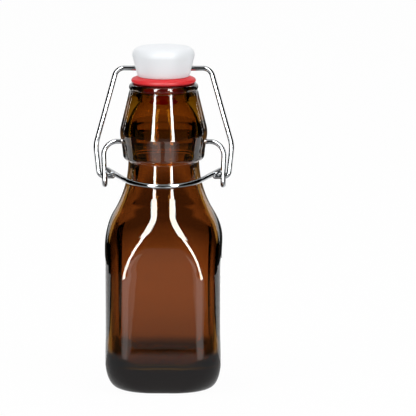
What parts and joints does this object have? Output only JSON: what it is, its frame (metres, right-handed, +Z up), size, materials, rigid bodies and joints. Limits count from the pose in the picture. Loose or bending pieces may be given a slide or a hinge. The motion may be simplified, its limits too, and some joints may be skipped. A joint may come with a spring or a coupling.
{
  "type": "swing top bottle",
  "caption": "Small square amber glass bottle with round shoulders and a wire swing-top closure: white stopper, red gasket, bail and lever.",
  "frame": {"origin": "middle of the base, on the surface the bottle stands on", "axes": "+Z up through the mouth; the flat panels face X and Y; the closure pivots along X and its handle is at -Y"},
  "size_m": [0.0612, 0.0508, 0.1501],
  "materials": {
    "amber_glass": "polished, tinted through",
    "stopper_plastic": "satin moulded",
    "gasket_rubber": "smooth moulded silicone",
    "closure_wire": "bright drawn wire"
  },
  "bodies": {
    "bottle": {"bottle": "amber_glass"},
    "lever": {"lever": "closure_wire"},
    "bail": {"bail": "closure_wire"},
    "stopper": {"stopper": "stopper_plastic", "gasket": "gasket_rubber"}
  },
  "joints": [
    {"name": "lever_pivot", "type": "hinge", "parent": "bottle", "child": "lever", "pos_m": [0, 0, 0.10786], "axis": [-1, 0, 0], "range_deg": [0, 84]},
    {"name": "bail_hook", "type": "hinge", "parent": "lever", "child": "bail", "pos_m": [0, 0.0012, 0.09226], "axis": [-1, 0, 0], "range_deg": [-59, 0]},
    {"name": "stopper_pivot", "type": "hinge", "parent": "bail", "child": "stopper", "pos_m": [0, 0, 0.14004], "axis": [-1, 0, 0], "range_deg": [-26, 0]}
  ],
  "couplings": [
    {"joint": "bail_hook", "follows": "lever_pivot", "ratio": -0.698},
    {"joint": "stopper_pivot", "follows": "lever_pivot", "ratio": -0.302}
  ]
}
